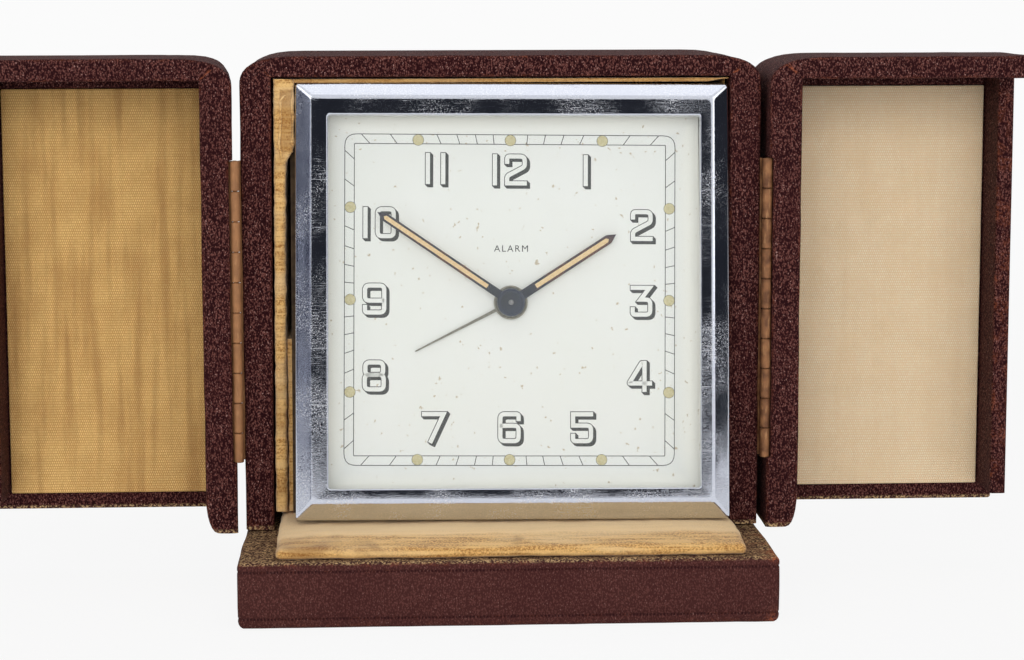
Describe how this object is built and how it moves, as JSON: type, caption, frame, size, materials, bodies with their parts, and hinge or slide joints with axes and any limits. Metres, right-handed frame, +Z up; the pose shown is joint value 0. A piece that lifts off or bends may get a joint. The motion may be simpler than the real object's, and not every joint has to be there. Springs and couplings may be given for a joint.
{
  "type": "travel alarm clock",
  "caption": "Square travel alarm clock with chrome bezel, leaning on a padded plinth in a leather case with two hinged doors that fold shut.",
  "frame": {"origin": "middle of the footprint, on the surface the plinth stands on, with the doors open at 180 degrees", "axes": "+Z up, +X to the right as the dial is read, +Y to the back of the case"},
  "size_m": [0.178, 0.0652, 0.0906],
  "materials": {
    "leather": "burgundy grained leather over board",
    "velvet": "tan velvet",
    "fabric": "beige woven lining",
    "board": "grey brown board",
    "hinge_brass": "aged, brown",
    "chrome": "polished, scratched",
    "glass": "clear",
    "dial": "off-white, printed",
    "blued": "blued",
    "steel": "polished",
    "brass": "satin",
    "tin": "plated sheet"
  },
  "bodies": {
    "case": {"case_shell": "leather", "plinth": "leather", "plinth_pad": "velvet", "case_lining": "velvet", "seat_frame": "board", "left_hinge_case_leaf": "hinge_brass", "left_hinge_pin": "hinge_brass", "right_hinge_case_leaf": "hinge_brass", "right_hinge_pin": "hinge_brass", "back_hinge_case_leaf": "hinge_brass", "back_hinge_pin": "hinge_brass", "bezel": "chrome", "glass": "glass", "clock_housing": "tin", "dial": "dial", "front_plate": "brass", "back_plate": "brass", "rear_cover": "tin", "hairspring": "blued"},
    "left_door": {"left_door": "leather", "left_door_lining": "fabric", "left_hinge_door_leaf": "hinge_brass", "catch_stud": "hinge_brass"},
    "right_door": {"right_door": "leather", "right_door_lining": "fabric", "right_hinge_door_leaf": "hinge_brass", "catch_socket": "hinge_brass"},
    "back_door": {"back_door": "leather", "back_door_knob": "hinge_brass", "back_hinge_door_leaf": "hinge_brass"},
    "minute_group": {"centre_arbor": "steel", "cannon_pinion": "steel", "minute_hand": "blued", "time_set_knob": "brass"},
    "minute_wheel": {"minute_wheel": "brass"},
    "hour_group": {"hour_wheel": "brass", "hour_hand": "blued"},
    "alarm_group": {"alarm_wheel": "brass", "alarm_hand": "steel"},
    "alarm_setting": {"alarm_set_arbor": "steel", "alarm_set_knob": "brass"},
    "centre_wheel": {"centre_wheel": "brass"},
    "third_wheel": {"third_wheel": "brass"},
    "fourth_wheel": {"fourth_wheel": "brass"},
    "escape_wheel": {"escape_wheel": "steel"},
    "pallet_lever": {"pallet_lever": "steel"},
    "balance_wheel": {"balance_wheel": "brass"},
    "time_barrel": {"time_barrel": "brass", "time_mainspring": "steel"},
    "time_winding": {"time_arbor": "steel", "time_key": "brass"},
    "alarm_barrel": {"alarm_barrel": "brass", "alarm_mainspring": "steel"},
    "alarm_winding": {"alarm_arbor": "steel", "alarm_key": "brass"},
    "strike_wheel": {"strike_wheel": "steel"},
    "hammer": {"hammer": "steel"},
    "stop_button": {"alarm_stop_button": "brass"},
    "regulator": {"regulator_lever": "steel"}
  },
  "joints": [
    {"name": "left_door_hinge", "type": "hinge", "parent": "case", "child": "left_door", "pos_m": [-0.0444, -0.0091, 0.0476], "axis": [0, 0, 1], "range_deg": [0, 180]},
    {"name": "right_door_hinge", "type": "hinge", "parent": "case", "child": "right_door", "pos_m": [0.0444, -0.0091, 0.0476], "axis": [0, 0, -1], "range_deg": [0, 180]},
    {"name": "back_door_hinge", "type": "hinge", "parent": "case", "child": "back_door", "pos_m": [0.03015, 0.0295, 0.0505], "axis": [0, 0, -1], "range_deg": [0, 110]},
    {"name": "time_setting", "type": "hinge", "parent": "case", "child": "minute_group", "pos_m": [0.0014, -0.01288, 0.05029], "axis": [0, 0.9903, -0.1392], "continuous": true},
    {"name": "minute_wheel_spin", "type": "hinge", "parent": "case", "child": "minute_wheel", "pos_m": [-0.00604, -0.0125, 0.05298], "axis": [0, 0.9903, -0.1392], "continuous": true},
    {"name": "hour_hand_spin", "type": "hinge", "parent": "case", "child": "hour_group", "pos_m": [0.0014, -0.01288, 0.05029], "axis": [0, 0.9903, -0.1392], "continuous": true},
    {"name": "alarm_setting_spin", "type": "hinge", "parent": "case", "child": "alarm_setting", "pos_m": [0.00501, -0.01426, 0.04048], "axis": [0, 0.9903, -0.1392], "continuous": true},
    {"name": "alarm_hand_spin", "type": "hinge", "parent": "case", "child": "alarm_group", "pos_m": [0.0014, -0.01288, 0.05029], "axis": [0, 0.9903, -0.1392], "continuous": true},
    {"name": "fourth_wheel_spin", "type": "hinge", "parent": "case", "child": "fourth_wheel", "pos_m": [0.01475, -0.01208, 0.05593], "axis": [0, 0.9903, -0.1392], "continuous": true},
    {"name": "third_wheel_spin", "type": "hinge", "parent": "case", "child": "third_wheel", "pos_m": [0.00643, -0.01166, 0.05893], "axis": [0, 0.9903, -0.1392], "continuous": true},
    {"name": "centre_wheel_spin", "type": "hinge", "parent": "case", "child": "centre_wheel", "pos_m": [0.0014, -0.01288, 0.05029], "axis": [0, 0.9903, -0.1392], "continuous": true},
    {"name": "escape_wheel_spin", "type": "hinge", "parent": "case", "child": "escape_wheel", "pos_m": [0.01328, -0.01325, 0.04766], "axis": [0, 0.9903, -0.1392], "continuous": true},
    {"name": "time_barrel_spin", "type": "hinge", "parent": "case", "child": "time_barrel", "pos_m": [-0.00867, -0.01386, 0.04331], "axis": [0, 0.9903, -0.1392], "continuous": true},
    {"name": "pallet_lever_rock", "type": "hinge", "parent": "case", "child": "pallet_lever", "pos_m": [0.01328, -0.0139, 0.04301], "axis": [0, 0.9903, -0.1392], "range_deg": [-6, 6]},
    {"name": "balance_swing", "type": "hinge", "parent": "case", "child": "balance_wheel", "pos_m": [0.01389, -0.01504, 0.03491], "axis": [0, 0.9903, -0.1392], "range_deg": [-140, 140], "stiffness_Nm_per_rad": 0.000003},
    {"name": "time_winding_spin", "type": "hinge", "parent": "case", "child": "time_winding", "pos_m": [-0.00867, -0.01386, 0.04331], "axis": [0, 0.9903, -0.1392], "continuous": true},
    {"name": "alarm_winding_spin", "type": "hinge", "parent": "case", "child": "alarm_winding", "pos_m": [-0.0114, -0.01104, 0.06337], "axis": [0, 0.9903, -0.1392], "continuous": true},
    {"name": "strike_wheel_spin", "type": "hinge", "parent": "case", "child": "strike_wheel", "pos_m": [-0.00236, -0.01082, 0.06494], "axis": [0, 0.9903, -0.1392], "continuous": true},
    {"name": "alarm_barrel_spin", "type": "hinge", "parent": "case", "child": "alarm_barrel", "pos_m": [-0.0114, -0.01104, 0.06337], "axis": [0, 0.9903, -0.1392], "continuous": true},
    {"name": "hammer_swing", "type": "hinge", "parent": "case", "child": "hammer", "pos_m": [-0.00149, -0.01013, 0.06982], "axis": [0, 0.9903, -0.1392], "range_deg": [-8, 4]},
    {"name": "regulator_swing", "type": "hinge", "parent": "case", "child": "regulator", "pos_m": [0.01389, -0.01504, 0.03491], "axis": [0, 0.9903, -0.1392], "range_deg": [-20, 20]},
    {"name": "stop_button_push", "type": "slide", "parent": "case", "child": "stop_button", "axis": [0, -0.9903, 0.1392], "range_m": [0, 0.0015]}
  ],
  "couplings": [
    {"joint": "minute_wheel_spin", "follows": "time_setting", "ratio": -0.33333},
    {"joint": "hour_hand_spin", "follows": "time_setting", "ratio": 0.083333},
    {"joint": "alarm_hand_spin", "follows": "alarm_setting_spin", "ratio": -0.25},
    {"joint": "third_wheel_spin", "follows": "fourth_wheel_spin", "ratio": -0.13333},
    {"joint": "centre_wheel_spin", "follows": "fourth_wheel_spin", "ratio": 0.016667},
    {"joint": "time_barrel_spin", "follows": "fourth_wheel_spin", "ratio": -0.002381},
    {"joint": "escape_wheel_spin", "follows": "fourth_wheel_spin", "ratio": -10},
    {"joint": "alarm_barrel_spin", "follows": "strike_wheel_spin", "ratio": -0.13333}
  ]
}
